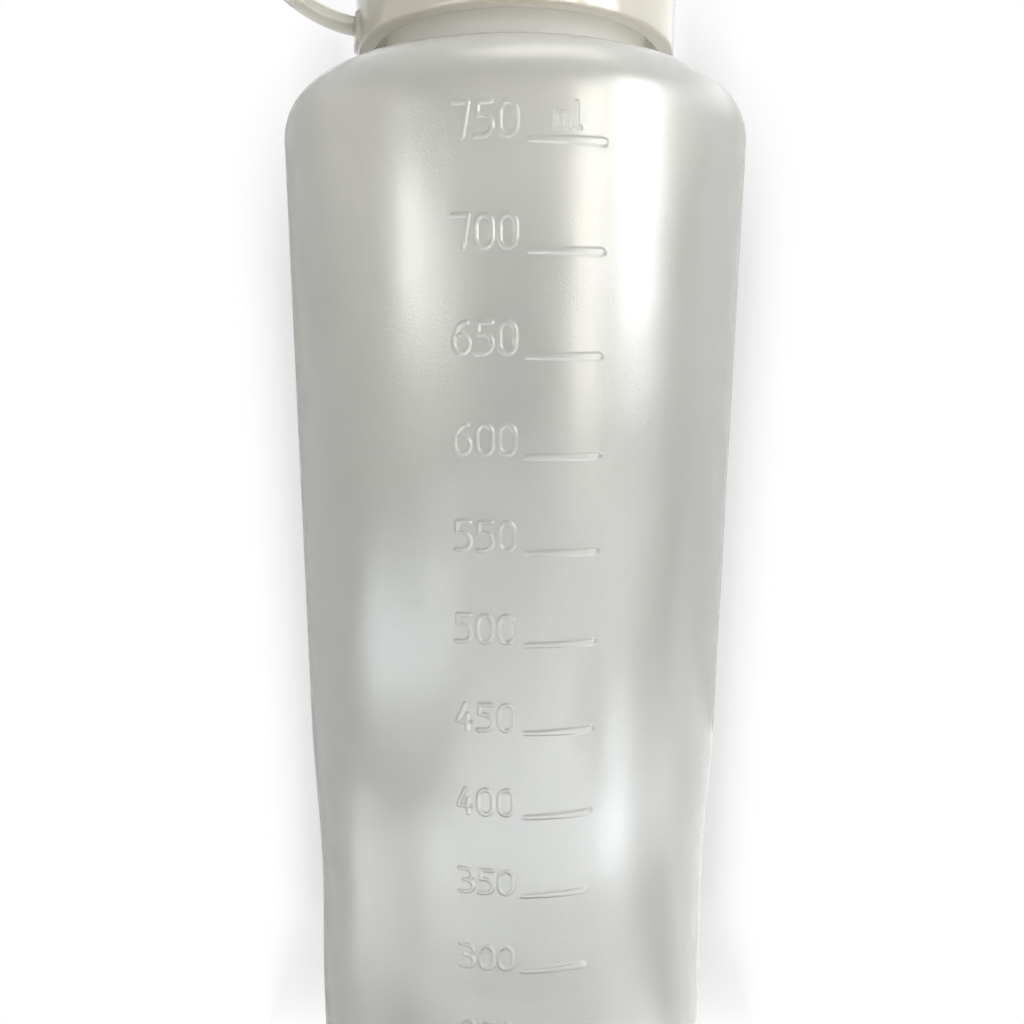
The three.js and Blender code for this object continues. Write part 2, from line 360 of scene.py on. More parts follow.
# Each letter of the unit: its left edge on the wall, its width and its height
UNIT_LETTERS = (("m", 4.75, 1.75, 1.7), ("l", 7.35, 0.6, 2.85))


def stroke_distance(across, up, strokes):
    """Distance of each point to the nearest stroke, in millimetres."""
    nearest = np.full(np.broadcast(across, up).shape, np.inf)
    for stroke in strokes:
        for (x0, y0), (x1, y1) in zip(stroke, stroke[1:]):
            dx, dy = x1 - x0, y1 - y0
            length = max(dx * dx + dy * dy, 1e-9)
            share = np.clip(((across - x0) * dx + (up - y0) * dy) / length, 0, 1)
            nearest = np.minimum(nearest, np.hypot(across - x0 - share * dx, up - y0 - share * dy))
    return nearest


def ridge(distance, half_width, edge, proud):
    """A ridge that rises smoothly over its edge on both sides of a line."""
    share = np.clip((half_width - distance) / edge, 0, 1)
    return proud * share * share * (3 - 2 * share)


def placed(glyph, left, bottom, width, height):
    return [[(left + x * width, bottom + y * height) for x, y in stroke] for stroke in GLYPHS[glyph]]


def label_strokes(k):
    """Strokes of one figure, right-aligned beside its mark, and the unit above the highest mark."""
    strokes = []
    digits = str(MARK_VOLUME * (k + 1))
    for place, digit in enumerate(reversed(digits)):
        left = FIGURE_RIGHT - FIGURE_WIDTH - place * FIGURE_PITCH
        strokes += placed(digit, left, FIGURE_RISE, FIGURE_WIDTH, FIGURE_HEIGHT)
    if k == MARK_COUNT - 1:
        for letter, left, width, height in UNIT_LETTERS:
            strokes += placed(letter, left, UNIT_RISE, width, height)
    return strokes


def label_relief(azimuth, height, k):
    """Raised figure and tapered mark of one volume, over a grid of azimuths and heights."""
    across = np.radians(azimuth) * BODY_RADIUS
    up = height - mark_height(k)
    to_stroke = stroke_distance(across, up, label_strokes(k))
    figure = ridge(to_stroke, STROKE_HALF_WIDTH, STROKE_EDGE, STROKE_PROUD)
    start = math.radians(MARK_START) * BODY_RADIUS + MARK_HALF_HEIGHT[0]
    end = math.radians(MARK_END) * BODY_RADIUS - MARK_HALF_HEIGHT[1]
    share = np.clip((across - start) / (end - start), 0, 1)
    to_mark = np.hypot(across - start - share * (end - start), up)
    half = MARK_HALF_HEIGHT[0] + (MARK_HALF_HEIGHT[1] - MARK_HALF_HEIGHT[0]) * share
    proud = MARK_PROUD[0] + (MARK_PROUD[1] - MARK_PROUD[0]) * share
    return np.maximum(figure, ridge(to_mark, half, MARK_EDGE, proud))


# Shader nodes
def new_material(name):
    material = bpy.data.materials.new(name)
    material.use_nodes = True
    nodes = material.node_tree.nodes
    return material, nodes, material.node_tree.links, nodes["Principled BSDF"]


def split_place(nodes, links, kind="Object"):
    """x, y and z of one kind of texture coordinates."""
    place = nodes.new("ShaderNodeSeparateXYZ")
    links.new(nodes.new("ShaderNodeTexCoord").outputs[kind], place.inputs[0])
    return place.outputs


def noise(nodes, links, coordinates, scale, detail, roughness=0.5):
    node = nodes.new("ShaderNodeTexNoise")
    node.inputs["Scale"].default_value = scale
    node.inputs["Detail"].default_value = detail
    node.inputs["Roughness"].default_value = roughness
    links.new(coordinates, node.inputs["Vector"])
    return node.outputs["Fac"]


def ramp(nodes, links, factor, low, high, low_at=0.3, high_at=0.7):
    node = nodes.new("ShaderNodeValToRGB")
    node.color_ramp.elements[0].position = low_at
    node.color_ramp.elements[0].color = (*low, 1)
    node.color_ramp.elements[1].position = high_at
    node.color_ramp.elements[1].color = (*high, 1)
    links.new(factor, node.inputs["Fac"])
    return node.outputs["Color"]


def spread(nodes, links, factor, low, high, between=(0.25, 0.75)):
    """A value that runs from low to high while the factor runs between two values."""
    node = nodes.new("ShaderNodeMapRange")
    node.inputs["From Min"].default_value = between[0]
    node.inputs["From Max"].default_value = between[1]
    node.inputs["To Min"].default_value = low
    node.inputs["To Max"].default_value = high
    links.new(factor, node.inputs["Value"])
    return node.outputs["Result"]


def combined(nodes, links, operation, first, second):
    node = nodes.new("ShaderNodeMath")
    node.operation = operation
    links.new(first, node.inputs[0])
    links.new(second, node.inputs[1])
    return node.outputs["Value"]


def mixed(nodes, links, factor, first, second):
    mix = nodes.new("ShaderNodeMixShader")
    links.new(factor, mix.inputs["Fac"])
    links.new(first, mix.inputs[1])
    links.new(second, mix.inputs[2])
    return mix.outputs["Shader"]


def bump(nodes, links, height, distance, under=None):
    node = nodes.new("ShaderNodeBump")
    node.inputs["Distance"].default_value = distance
    node.inputs["Strength"].default_value = 1
    links.new(height, node.inputs["Height"])
    if under is not None:
        links.new(under, node.inputs["Normal"])
    return node.outputs["Normal"]


# Plastics
CLOUD_SCALE = 45
GRAIN_SCALE = 4500
WAVE_SCALE = 70
SCATTER_REACH = 0.012
SCATTER_COLOURS = (1, 1, 0.95)
PLASTIC_IOR = 1.5
PLASTIC_SPECULAR = 0.15
SKIN_ROUGHNESS = 0.1
SKIN_IOR = 1.8
MILKY_CLARITY = 0.92
MILKY_CLARITY_ENDS = (0.2, 0.213)
WHITE_CLARITY = 0.65


def moulded_plastic(name, low, high, rough, peel, wave):
    """Polyethylene: cloudy colour, fine orange peel and slow waves left by the mould."""
    material, nodes, links, shader = new_material(name)
    place = nodes.new("ShaderNodeTexCoord").outputs["Object"]
    clouds = noise(nodes, links, place, CLOUD_SCALE, detail=4)
    grain = noise(nodes, links, place, GRAIN_SCALE, detail=2, roughness=0.6)
    waves = noise(nodes, links, place, WAVE_SCALE, detail=1)
    links.new(ramp(nodes, links, clouds, low, high), shader.inputs["Base Color"])
    links.new(spread(nodes, links, clouds, *rough), shader.inputs["Roughness"])
    wavy = bump(nodes, links, waves, wave)
    peeled = bump(nodes, links, grain, peel, wavy)
    links.new(peeled, shader.inputs["Normal"])
    links.new(peeled, shader.inputs["Coat Normal"])
    return material, nodes, links, shader


def let_light_through(shader, transmission):
    """Light passes through the plastic and scatters in the rest of it, under a smoother skin."""
    shader.inputs["Transmission Weight"].default_value = transmission
    shader.inputs["Subsurface Weight"].default_value = 1
    shader.inputs["Subsurface Radius"].default_value = SCATTER_COLOURS
    shader.inputs["Subsurface Scale"].default_value = SCATTER_REACH
    shader.inputs["IOR"].default_value = PLASTIC_IOR
    shader.inputs["Specular IOR Level"].default_value = PLASTIC_SPECULAR
    shader.inputs["Coat Weight"].default_value = 1
    shader.inputs["Coat Roughness"].default_value = SKIN_ROUGHNESS
    shader.inputs["Coat IOR"].default_value = SKIN_IOR


def milky_polyethylene():
    """The body's plastic. It is cloudier towards the neck, where the wall is thicker."""
    material, nodes, links, shader = moulded_plastic(
        "milky_polyethylene",
        low=(0.81, 0.815, 0.765),
        high=(0.86, 0.865, 0.825),
        rough=(0.38, 0.46),
        peel=0.00003,
        wave=0.0002,
    )
    let_light_through(shader, MILKY_CLARITY)
    height = split_place(nodes, links)["Z"]
    clarity = spread(nodes, links, height, MILKY_CLARITY, 0, MILKY_CLARITY_ENDS)
    links.new(clarity, shader.inputs["Transmission Weight"])
    return material


def white_polyethylene():
    """The plastic of the cap, its strap and the tip cover."""
    material, _, _, shader = moulded_plastic(
        "white_polyethylene",
        low=(0.68, 0.64, 0.53),
        high=(0.73, 0.69, 0.58),
        rough=(0.38, 0.46),
        peel=0.00001,
        wave=0.0001,
    )
    let_light_through(shader, WHITE_CLARITY)
    return material


milky = milky_polyethylene()
white = white_polyethylene()
foam, *_ = moulded_plastic(
    "foam", low=(0.78, 0.78, 0.76), high=(0.86, 0.86, 0.85), rough=(0.75, 0.85), peel=0.0001, wave=0.0002
)


# Body
def label_rows(rows):
    """Adds the straight wall's rows and gives the rows of each figure and of each mark."""
    figure_rows, mark_rows = [], []
    below = round(MARK_ROOM / FIGURE_GRID)
    above = round(FIGURE_ROOM / FIGURE_GRID)
    for k in range(MARK_COUNT):
        mark = mark_height(k)
        bottom = mark - below * FIGURE_GRID
        for height in np.linspace(rows[-1][1], bottom, ROWS_BETWEEN_LABELS + 2)[1:-1]:
            rows.append((wall_radius(height), height))
        first = len(rows)
        for step in range(-below, above + 1):
            height = mark + step * FIGURE_GRID
            rows.append((wall_radius(height), height))
        figure_rows.append(list(range(first, len(rows))))
        mark_rows.append(list(range(first, first + 2 * below + 1)))
    return figure_rows, mark_rows


def inside_rows():
    """Rows of the body's inside, from below its rim down to its floor."""
    shoulder = arc(SHOULDER_CENTRE, SHOULDER_START, SHOULDER_RADIUS - WALL, SHOULDER_END, 0, steps=10)
    foot = shoulder[0][1] + (shoulder[0][0] - NECK_BORE) * SHOULDER_RISE
    rows = straight((NECK_BORE, NECK_TOP - BORE_LEAD), (NECK_BORE, foot + BORE_EDGE), 4)
    rows += straight((NECK_BORE + BORE_EDGE, foot), shoulder[0], 3)[:-1]
    rows += shoulder
    heel = HEEL_RADIUS - FLOOR
    lowest = FLOOR + heel + INNER_WALL_LEADS[0]
    highest = SHOULDER_START - INNER_WALL_LEADS[1]
    for height in np.linspace(highest, lowest, INNER_WALL_ROWS):
        rows.append((wall_radius(height) - WALL, height))
    rows += arc(BODY_RADIUS - WALL - heel, FLOOR + heel, heel, 0, -90)
    return rows + list(FLOOR_OUTLINE)


def bottle_rows():
    """Rows of the body from its base up the outside and down the inside, with the rows of each figure,
    of each mark and of the neck."""
    rows = list(BASE_OUTLINE)
    rows += arc(BODY_RADIUS - HEEL_RADIUS, HEEL_RADIUS, HEEL_RADIUS, -90, 0)
    figure_rows, mark_rows = label_rows(rows)
    shoulder = arc(SHOULDER_CENTRE, SHOULDER_START, SHOULDER_RADIUS, 0, SHOULDER_END, steps=14)
    slope_top = (NECK_RADIUS + NECK_FILLET, NECK_ROOT - NECK_FILLET * SHOULDER_RISE)
    rows += shoulder
    rows += straight(shoulder[-1], slope_top, 5)[1:]
    rows += [(NECK_RADIUS + NECK_FILLET_MIDDLE[0], NECK_ROOT + NECK_FILLET_MIDDLE[1])]
    rows += [(NECK_RADIUS, NECK_ROOT + NECK_FILLET), (NECK_RADIUS, NECK_ROOT + 2 * NECK_FILLET)]
    thread_foot = THREAD_START - THREAD_ROOT
    neck = straight((NECK_RADIUS, thread_foot), (NECK_RADIUS, NECK_TOP - RIM_ROUND), NECK_ROWS)
    neck_rows = list(range(len(rows), len(rows) + len(neck)))
    rows += neck
    rows += arc(NECK_RADIUS - RIM_ROUND, NECK_TOP - RIM_ROUND, RIM_ROUND, 20, 90, steps=4)
    rows += arc(NECK_BORE + RIM_ROUND, NECK_TOP - RIM_ROUND, RIM_ROUND, 90, 180, steps=4)
    rows += inside_rows()
    return rows, figure_rows, mark_rows, neck_rows


def bottle():
    rows, figure_rows, mark_rows, neck_rows = bottle_rows()
    per_mm = math.degrees(1 / BODY_RADIUS)
    spans = {
        "figure": columns_between(*FIGURE_SPAN, FIGURE_GRID * per_mm),
        "mark": columns_between(*MARK_SPAN, MARK_GRID * per_mm),
        "unit": columns_between(*UNIT_SPAN, FIGURE_GRID * per_mm),
    }
    columns = sorted({*COARSE_COLUMNS, *spans["figure"], *spans["mark"], *spans["unit"]})
    place = {azimuth: j for j, azimuth in enumerate(columns)}
    span_columns = {name: [place[a] for a in span] for name, span in spans.items()}
    coarse = [place[a] for a in COARSE_COLUMNS]
    unit_rows = [i for i in figure_rows[-1] if i > mark_rows[-1][-1] + 1]
    patches = [(figure, span_columns["figure"]) for figure in figure_rows]
    patches += [(mark, span_columns["mark"]) for mark in mark_rows]
    patches += [(unit_rows, span_columns["unit"])]
    azimuth = np.array(columns)[None, :]
    height = np.array([z for _, z in rows])[:, None]
    relief = np.zeros((len(rows), len(columns)))
    for k, label in enumerate(figure_rows):
        relief[label] = label_relief(azimuth, height[label], k)
    relief[neck_rows] = screw_relief(azimuth, height[neck_rows], THREAD_START, THREAD_TURNS, THREAD_DEPTH)
    return turned("bottle_shell", rows, columns, coarse, patches, relief, milky)


shell = bottle()
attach(shell, "bottle")
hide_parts("bottle_body")


# Cap with its nozzle
def nozzle_rows():
    """Rows of the nozzle from its fillet on the plate up the outside and down its bore."""
    fillet_top = CAP_TOP + NOZZLE_FILLET
    cone_foot = fillet_top + NOZZLE_LEADS[0]
    cone_top = NOZZLE_TOP - NOZZLE_LEADS[1]
    bore_top = (NOZZLE_BORE + NOZZLE_BORE_LEAD[0], NOZZLE_TOP - NOZZLE_BORE_LEAD[1])
    rows = arc(nozzle_radius(fillet_top) + NOZZLE_FILLET, fillet_top, NOZZLE_FILLET, -90, -180)
    rows += straight((nozzle_radius(cone_foot), cone_foot), (nozzle_radius(cone_top), cone_top), 12)
    rows += arc(NOZZLE_TIP - TIP_ROUND, NOZZLE_TOP - TIP_ROUND, TIP_ROUND, 10, 90, steps=3)
    rows += arc(NOZZLE_BORE + TIP_BORE_ROUND, NOZZLE_TOP - TIP_BORE_ROUND, TIP_BORE_ROUND, 90, 180, steps=3)
    rows += straight(bore_top, (NOZZLE_BASE - NOZZLE_WALL, PLATE_BOTTOM), 12)
    return rows


def cap_rows(pad_top):
    """Rows of the cap from its skirt's lower edge over the nozzle and back, with those of the pad and of
    the bore."""
    skirt_foot = SKIRT_BOTTOM + SKIRT_ROUND
    edge_foot = CAP_TOP - CAP_EDGE
    rows = arc(SKIRT_RADIUS - SKIRT_ROUND, skirt_foot, SKIRT_ROUND, -90, 0, steps=4)
    first = len(rows)
    pad_ends = (SKIRT_RADIUS, skirt_foot + PAD_ROOM[0]), (SKIRT_RADIUS, pad_top + PAD_ROOM[1])
    rows += straight(*pad_ends, PAD_ROWS)
    pad_rows = list(range(first, len(rows)))
    rows += straight((SKIRT_RADIUS, pad_top + SKIRT_LEADS[0]), (SKIRT_RADIUS, edge_foot - SKIRT_LEADS[1]), 3)
    rows += arc(SKIRT_RADIUS - CAP_EDGE, edge_foot, CAP_EDGE, 0, 90)
    rows += nozzle_rows()
    rows += straight((NOZZLE_BASE, PLATE_BOTTOM), (SKIRT_BORE - PLATE_CORNER, PLATE_BOTTOM), 3)
    first = len(rows)
    rows += straight((SKIRT_BORE, PLATE_BOTTOM - PLATE_CORNER), (SKIRT_BORE, skirt_foot), CAP_BORE_ROWS)
    bore_rows = list(range(first, len(rows)))
    rows += arc(SKIRT_BORE + SKIRT_ROUND, skirt_foot, SKIRT_ROUND, 200, 270, steps=3)
    return rows, pad_rows, bore_rows


def screw_cap():
    pad_top = SKIRT_BOTTOM + STRAP_RISE + STRAP_THICKNESS / 2 + PAD_MARGIN
    rows, pad_rows, bore_rows = cap_rows(pad_top)
    pad_span = columns_between(*PAD_SPAN, PAD_GRID)
    columns = sorted({*COARSE_COLUMNS, *pad_span})
    place = {azimuth: j for j, azimuth in enumerate(columns)}
    coarse = [place[a] for a in COARSE_COLUMNS]
    azimuth = np.array(columns)[None, :]
    height = np.array([z for _, z in rows])[:, None]
    relief = np.zeros((len(rows), len(columns)))
    half = STRAP_WIDTH / 2 + PAD_MARGIN
    beside = half - np.abs(np.radians(azimuth - STRAP_AZIMUTH)) * SKIRT_RADIUS
    above = height[pad_rows] - SKIRT_BOTTOM - SKIRT_ROUND
    inside = np.minimum(beside, np.minimum(above, pad_top - height[pad_rows]))
    relief[pad_rows] = ridge(-inside, 0, PAD_EDGE, PAD_PROUD)
    thread = (CAP_THREAD_START, CAP_THREAD_TURNS, CAP_THREAD_DEPTH)
    relief[bore_rows] = -screw_relief(azimuth, height[bore_rows], *thread)
    patches = [(pad_rows, [place[a] for a in pad_span])]
    return turned("cap_shell", rows, columns, coarse, patches, relief, white, ring=True)


cap = screw_cap()
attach(cap, "cap")
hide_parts("screw_cap")


# Washer
def washer():
    inner, outer, soft = NECK_BORE, WASHER_RADIUS, WASHER_ROUND
    rows = arc(outer - soft, WASHER_BOTTOM + soft, soft, -90, 0, steps=4)
    rows += arc(outer - soft, WASHER_TOP - soft, soft, 0, 90, steps=4)
    rows += arc(inner + soft, WASHER_TOP - soft, soft, 90, 180, steps=4)
    rows += arc(inner + soft, WASHER_BOTTOM + soft, soft, 180, 270, steps=4)
    return plain_turned("washer_ring", rows, foam, True)


seal = washer()
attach(seal, "seal")
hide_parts("sealing_washer")


# Tip cover
def cone(start, end, offsets):
    """A straight stretch between two points, each moved by its offset."""
    ends = [(r + out, z + up) for (r, z), (out, up) in zip((start, end), offsets)]
    return straight(*ends, 8)


def tip_cover():
    mouth = nozzle_radius(COVER_BOTTOM) + COVER_GAP
    crown = NOZZLE_TIP + COVER_GAP
    collar_top = COVER_BOTTOM + COLLAR_HEIGHT
    inside_top = NOZZLE_TOP + COVER_GAP
    foot = nozzle_radius(collar_top) + COVER_GAP + COVER_WALL
    edge = crown + COVER_WALL - COVER_EDGE
    edge_foot = COVER_TOP - COVER_EDGE
    soft = COLLAR_ROUND
    rows = [(COVER_EYE, inside_top), (crown - COVER_CORNER, inside_top), (crown, inside_top - COVER_CORNER)]
    rows += cone((crown, inside_top), (mouth, COVER_BOTTOM), COVER_INNER_CONE)
    rows += [(mouth + COVER_MOUTH_FLARE, COVER_BOTTOM)]
    rows += arc(COLLAR_RADIUS - soft, COVER_BOTTOM + soft, soft, -90, 0, steps=4)
    rows += arc(COLLAR_RADIUS - soft, collar_top - soft, soft, 0, 90, steps=4)
    rows += [(foot + out, collar_top + up) for out, up in COLLAR_FILLET]
    rows += cone((foot, collar_top), (edge + COVER_EDGE, edge_foot), COVER_OUTER_CONE)
    rows += arc(edge, edge_foot, COVER_EDGE, 0, 90)
    rows += [(COVER_EYE, COVER_TOP)]
    return plain_turned("tip_cover_shell", rows, white, False)


cover = tip_cover()
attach(cover, "cover")
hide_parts("tip_cover")


# Strap
def strap_section():
    """Outline of the band's section, with rounded corners."""
    half_width, half_thick = STRAP_WIDTH / 2 - STRAP_ROUND, STRAP_THICKNESS / 2 - STRAP_ROUND
    section = []
    for side, face, start in ((1, -1, -90), (1, 1, 0), (-1, 1, 90), (-1, -1, 180)):
        section += arc(side * half_width, face * half_thick, STRAP_ROUND, start, start + 90, steps=3)
    return section


def strap():
    """The band, swept along its path, and two points on the skirt's radius near its lower and upper ends."""
    bottom = SKIRT_BOTTOM + STRAP_RISE
    top = COVER_BOTTOM + COLLAR_HEIGHT / 2
    loop = (top - bottom) / 2
    middle = (top + bottom) / 2
    root = SKIRT_RADIUS + PAD_PROUD - STRAP_SINK - STRAP_LOOP_CENTRE
    first = math.degrees(math.asin(root / loop)) - 90
    path = arc(STRAP_LOOP_CENTRE, middle, loop, first, 90, steps=STRAP_LOOP_STEPS)
    path += straight(path[-1], (COLLAR_RADIUS - STRAP_SINK, top), STRAP_STRAIGHT_STEPS)[1:]
    section = strap_section()
    turn = math.radians(STRAP_AZIMUTH)
    outward = np.array([math.sin(turn), -math.cos(turn), 0])
    sideways = np.array([math.cos(turn), math.sin(turn), 0])
    up = np.array([0, 0, 1])
    route = np.array(path)
    tangents = np.gradient(route, axis=0)
    tangents /= np.linalg.norm(tangents, axis=1)[:, None]
    points, faces = [], []
    for (radius, height), (tangent_out, tangent_up) in zip(route, tangents):
        normal = tangent_up * outward - tangent_out * up
        centre = radius * outward + height * up
        points += [tuple((centre + x * sideways + y * normal) * MM) for x, y in section]
    size = len(section)
    for i in range(len(route) - 1):
        for k in range(size):
            n = (k + 1) % size
            faces.append((i * size + k, (i + 1) * size + k, (i + 1) * size + n, i * size + n))
    faces.append(tuple(range(size)))
    faces.append(tuple(range(len(route) * size - 1, (len(route) - 1) * size - 1, -1)))
    piece = make_object("strap_band", points, faces, white)
    low = outward * SKIRT_RADIUS * MM + up * (bottom + STRAP_BLEND_MARGINS[0]) * MM
    high = outward * SKIRT_RADIUS * MM + up * (top - STRAP_BLEND_MARGINS[1]) * MM
    return piece, low, high


band, band_low, band_high = strap()
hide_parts("tether_strap")
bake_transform(band)


# Studio, in metres and degrees
LIGHT_CENTRE = Vector((0, 0, 0.15))
LIGHT_REACH = 0.5
TABLE_LIGHT_HEIGHT = 0.002
TABLE_LIGHT_STEP = 0.0002
AMBIENT = (0.05, 1.1)
WHITE = (1, 1, 1, 1)
PAPER_ROUGHNESS = 0.9
FLOOR_COLOUR = (0.9, 0.9, 0.9, 1)
FLOOR_REACH = 1.5
# Painted shadow on the backdrop: how far ambient occlusion reaches, how dark it paints, and where it fades
# out beside the bottle and at its foot
PAINTED_SHADOW_REACH = 0.034
PAINTED_SHADOW_DARK = 0.0
PAINTED_SHADOW_SIDE = (0.049, 0.062)
PAINTED_SHADOW_FOOT = (-0.001, 0.04)
STRAP_GAP_SIDE = (0.03, 0.036)
STRAP_GAP_FOOT = (0.208, 0.212)
BACKDROP_DISTANCE = 0.0368
BACKDROP_HALF_WIDTH = 0.2
BACKDROP_HEIGHT = 0.4
SIDE_FLAG_REACHES = (0.0368, 0.3)
STANDING_FLAG_REACH = 0.4
FLAG_LIFT = 0.0005
FOOT_FLAG_LIFT = 0.004
LYING_FLAG_STEPS = 60
CAMERA_PLACE = (-0.00028, -0.1381, 0.1684)
CAMERA_TILT = 11.05
CAMERA_ROLL = 0.246
CAMERA_LENS = 28
CAMERA_SENSOR = 36
CAMERA_CLIP_START = 0.005

# Lights round the bottle: name, azimuths, elevations, radiance and colour
WINDOWS = (
    ("window_right", (46, 69.5), (1, 40), 6, (1, 1, 1)),
    ("window_side", (72, 150), (22, 40), 0.6, (0.97, 0.99, 1)),
    ("window_warm", (27, 39.4), (-3, 30), 5.6, (1, 0.98, 0.9)),
    ("window_left", (-54, -43), (5, 16.5), 6.6, (1, 1, 0.97)),
    ("window_left_inner", (-43, -26), (2, 15), 2.6, (1, 1, 0.97)),
    ("wall_front", (-26, 27), (9, 32), 0.8, (1, 0.99, 0.95)),
    ("wall_left", (-120, -50), (14, 36), 0.4, (1, 0.85, 0.65)),
    ("ceiling", (-60, 120), (66, 88), 2, (1, 0.95, 0.86)),
)
# Bright sheets on the table: name, azimuths, distances from the bottle's axis, radiance and colour
TABLE_LIGHTS = (
    ("table_left", (-95, -33), (0.105, 0.185), 1.5, (0.92, 0.96, 1)),
    ("table_front", (-32, 40), (0.105, 0.3), 3, (0.92, 0.96, 1)),
    ("table_right", (40, 95), (0.15, 0.25), 1.6, (0.92, 0.96, 1)),
    ("table_strip", (48, 59), (0.125, 0.32), 3.3, (0.9, 0.95, 1)),
    ("table_far", (-33, 65), (0.3, 1.2), 1.8, (1, 1, 1)),
    ("table_foot", (38, 80), (0.05, 0.1), 2.4, (0.95, 0.97, 1)),
    ("left_patch", (-80, -27), (0.29, 0.465), 3.8, (0.88, 0.94, 1)),
)
# Grey cards beside the bottle: name, side, heights and shade
SIDE_FLAGS = (
    ("flag_side_left", -1, (0, 0.23), 0.62),
    ("flag_side_right", 1, (0.1, 0.216), 0.55),
    ("flag_side_right_low", 1, (0, 0.1), 0.85),
)
# Grey cards that stand round the bottle: name, azimuths, heights and shade
STANDING_FLAGS = (
    ("flag_left", (-104, -60), (0.05, 0.19), 0.6),
    ("flag_right", (78, 105), (0.05, 0.3), 0.62),
)
# Grey cards on the table: name, azimuths, distances from the bottle's axis, shade and height
LYING_FLAGS = (
    ("flag_floor", (-85, 90), (0.134, 0.6), 0.6, FLAG_LIFT),
    ("flag_foot", (-20, 38), (0.05, 0.121), 0.02, FOOT_FLAG_LIFT),
    ("flag_foot_inner", (-60, -20), (0.05, 0.112), 0.02, FOOT_FLAG_LIFT),
    ("flag_foot_left", (-95, -60), (0.05, 0.112), 0.8, FOOT_FLAG_LIFT),
    ("flag_foot_right", (38, 100), (0.1, 0.135), 0.5, FOOT_FLAG_LIFT),
)


def around(azimuth, reach):
    """x and y at a distance from the bottle's axis."""
    turn = math.radians(azimuth)
    return reach * math.sin(turn), -reach * math.cos(turn)


def area_light(name, size, radiance, colour):
    """A rectangle of even light that the camera does not see."""
    data = bpy.data.lights.new(name, "AREA")
    data.shape = "RECTANGLE"
    data.size, data.size_y = size
    data.energy = radiance * math.pi * size[0] * size[1]
    data.color = colour
    lamp = bpy.data.objects.new(name, data)
    lamp.visible_camera = False
    bpy.context.scene.collection.objects.link(lamp)
    return lamp


def window(name, azimuths, elevations, radiance, colour):
    """An area light that fills a range of azimuths and elevations round the bottle."""
    elevation = math.radians(sum(elevations) / 2)
    width = math.radians(azimuths[1] - azimuths[0]) * LIGHT_REACH * math.cos(elevation)
    height = math.radians(elevations[1] - elevations[0]) * LIGHT_REACH
    out = Vector((*around(sum(azimuths) / 2, math.cos(elevation)), math.sin(elevation)))
    lamp = area_light(name, (width, height), radiance, colour)
    lamp.location = LIGHT_CENTRE + out * LIGHT_REACH
    lamp.rotation_euler = out.to_track_quat("Z", "Y").to_euler()


def table_light(name, azimuths, reaches, radiance, colour, lift):
    """A sheet of light that lies on the table, shines up and only mirrors in the plastic."""
    azimuth = sum(azimuths) / 2
    reach = sum(reaches) / 2
    width = math.radians(azimuths[1] - azimuths[0]) * reach
    lamp = area_light(name, (width, reaches[1] - reaches[0]), radiance, colour)
    lamp.location = (*around(azimuth, reach), lift)
    lamp.rotation_euler = (math.pi, 0, math.radians(azimuth))
    lamp.visible_diffuse = False
    lamp.visible_transmission = False


def sheet_of_paper(name, corners, material):
    mesh = bpy.data.meshes.new(name)
    mesh.from_pydata(corners, [], [range(len(corners))])
    mesh.materials.append(material)
    sheet = bpy.data.objects.new(name, mesh)
    bpy.context.scene.collection.objects.link(sheet)
    return sheet


def flag(name, corners, shade):
    """A grey card that the camera does not see. It only mirrors in the plastic, so that edges stand out."""
    material, _, _, shader = new_material(name)
    shader.inputs["Base Color"].default_value = (shade, shade, shade, 1)
    shader.inputs["Roughness"].default_value = PAPER_ROUGHNESS
    card = sheet_of_paper(name, corners, material)
    card.visible_camera = False
    card.visible_diffuse = False
    card.visible_transmission = False
    card.visible_shadow = False


def side_flag(name, side, heights, shade):
    """A card in the plane of the bottle's axis, so that its back doesn't mirror the lights in front."""
    (near, far), (low, high) = SIDE_FLAG_REACHES, heights
    outline = ((near, low), (far, low), (far, high), (near, high))
    flag(name, [(side * reach, 0, height) for reach, height in outline], shade)


def standing_flag(name, azimuths, heights, shade):
    (left, right), (low, high) = azimuths, heights
    outline = ((left, low), (right, low), (right, high), (left, high))
    flag(name, [(*around(azimuth, STANDING_FLAG_REACH), height) for azimuth, height in outline], shade)


def lying_flag(name, azimuths, reaches, shade, lift):
    path = np.linspace(*azimuths, LYING_FLAG_STEPS)
    corners = [(*around(azimuth, reaches[0]), lift) for azimuth in path[::-1]]
    corners += [(*around(azimuth, reaches[1]), lift) for azimuth in path]
    flag(name, corners, shade)


def seen_directly(nodes, links):
    """1 for rays that show the background: from the camera, mirrored or through the plastic."""
    rays = nodes.new("ShaderNodeLightPath")
    seen = rays.outputs["Is Camera Ray"]
    for kind in ("Is Glossy Ray", "Is Transmission Ray"):
        seen = combined(nodes, links, "MAXIMUM", seen, rays.outputs[kind])
    return seen


def make_world():
    """White where the world is seen. What it lights gets more from the right than from the left."""
    world = bpy.data.worlds.new("studio")
    world.use_nodes = True
    nodes, links = world.node_tree.nodes, world.node_tree.links
    ambient = nodes["Background"]
    ambient.inputs["Color"].default_value = WHITE
    across = split_place(nodes, links, "Generated")["X"]
    links.new(spread(nodes, links, across, *AMBIENT, (-1, 1)), ambient.inputs["Strength"])
    shown = nodes.new("ShaderNodeBackground")
    shown.inputs["Color"].default_value = WHITE
    sky = mixed(nodes, links, seen_directly(nodes, links), ambient.outputs[0], shown.outputs[0])
    links.new(sky, nodes["World Output"].inputs["Surface"])
    bpy.context.scene.world = world


def make_floor():
    material, _, _, shader = new_material("floor_paper")
    shader.inputs["Base Color"].default_value = FLOOR_COLOUR
    shader.inputs["Roughness"].default_value = PAPER_ROUGHNESS
    shader.inputs["Specular IOR Level"].default_value = 0
    r = FLOOR_REACH
    sheet_of_paper("floor", [(-r, -r, 0), (r, -r, 0), (r, r, 0), (-r, r, 0)], material)


